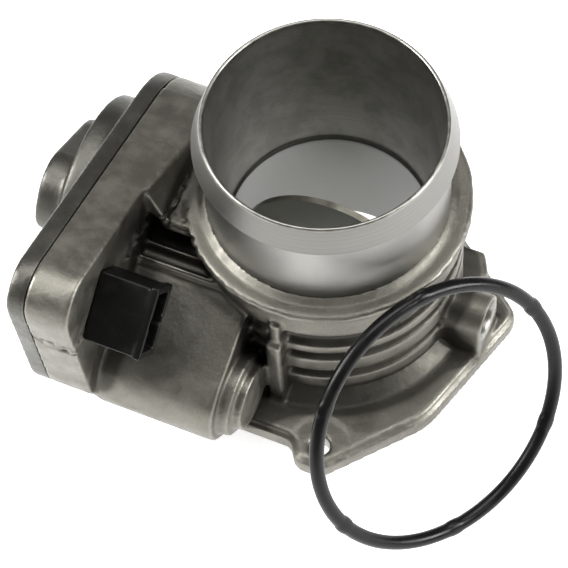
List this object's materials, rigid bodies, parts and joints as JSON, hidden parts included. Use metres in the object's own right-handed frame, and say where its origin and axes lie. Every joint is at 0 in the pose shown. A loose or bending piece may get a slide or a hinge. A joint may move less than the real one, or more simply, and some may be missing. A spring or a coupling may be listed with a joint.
{
  "type": "throttle body",
  "caption": "Cast throttle body with a stepped hose spigot, side gearbox, motor barrel, electrical connector, bolt-on flange and a loose flange seal.",
  "frame": {"origin": "on the air passage's axis, in the flange's mating face", "axes": "+Z along the air passage towards the hose spigot, +X along the throttle shaft away from the gearbox, -Y towards the motor and connector"},
  "size_m": [0.1653, 0.1426, 0.1194],
  "materials": {
    "cast_metal": "die cast, satin, turned bright on the spigot, bore and faces",
    "cover_metal": "die cast, fine satin",
    "plate_metal": "turned, satin",
    "steel": "ground",
    "zinc_steel": "zinc plated",
    "spring_steel": "oiled spring wire",
    "terminal_brass": "bright",
    "black_plastic": "moulded, dusty matte",
    "gear_plastic": "moulded natural nylon",
    "magnet": "sintered",
    "board": "circuit board",
    "rubber": "moulded black, soft sheen"
  },
  "bodies": {
    "housing": {"throttle_housing": "cast_metal", "gearbox_cover": "cover_metal", "cover_seal": "rubber", "cover_screws": "zinc_steel", "connector_shell": "black_plastic", "connector_pins": "terminal_brass", "lead_frame": "black_plastic", "position_sensor": "board", "shaft_end_bearing": "steel", "shaft_seals": "rubber", "bearing_outer_ring": "steel", "bearing_balls": "steel", "return_spring": "spring_steel", "intermediate_axle": "steel", "motor_can": "zinc_steel", "motor_magnets": "magnet", "motor_end_plate": "zinc_steel", "motor_screws": "zinc_steel"},
    "throttle": {"throttle_shaft": "steel", "throttle_plate": "plate_metal", "plate_screws": "zinc_steel", "sector_gear": "gear_plastic", "spring_bush": "gear_plastic", "sensor_magnet": "magnet", "bearing_inner_ring": "steel"},
    "intermediate": {"intermediate_gear": "gear_plastic"},
    "motor_rotor": {"rotor_core": "steel", "motor_shaft": "steel", "commutator": "terminal_brass", "motor_pinion": "terminal_brass"},
    "seal_ring": {"flange_seal_ring": "rubber"}
  },
  "joints": [
    {"name": "motor_spin", "type": "hinge", "parent": "housing", "child": "motor_rotor", "pos_m": [-0.0463, -0.054, 0.021], "axis": [-1, 0, 0], "range_deg": [0, 1136.8]},
    {"name": "throttle_turn", "type": "hinge", "parent": "housing", "child": "throttle", "pos_m": [0, 0, 0.0182], "axis": [-1, 0, 0], "range_deg": [0, 84], "stiffness_Nm_per_rad": 0.03, "springref_deg": -57.3},
    {"name": "intermediate_spin", "type": "hinge", "parent": "housing", "child": "intermediate", "pos_m": [-0.0548, -0.02858, 0.03096], "axis": [-1, 0, 0], "range_deg": [-243.7, 0]},
    {"name": "seal_lift", "type": "slide", "parent": "housing", "child": "seal_ring", "axis": [0.8506, -0.4903, 0.1901], "range_m": [0, 0.06]}
  ],
  "couplings": [
    {"joint": "throttle_turn", "follows": "motor_spin", "ratio": 0.073892},
    {"joint": "intermediate_spin", "follows": "motor_spin", "ratio": -0.21429}
  ]
}
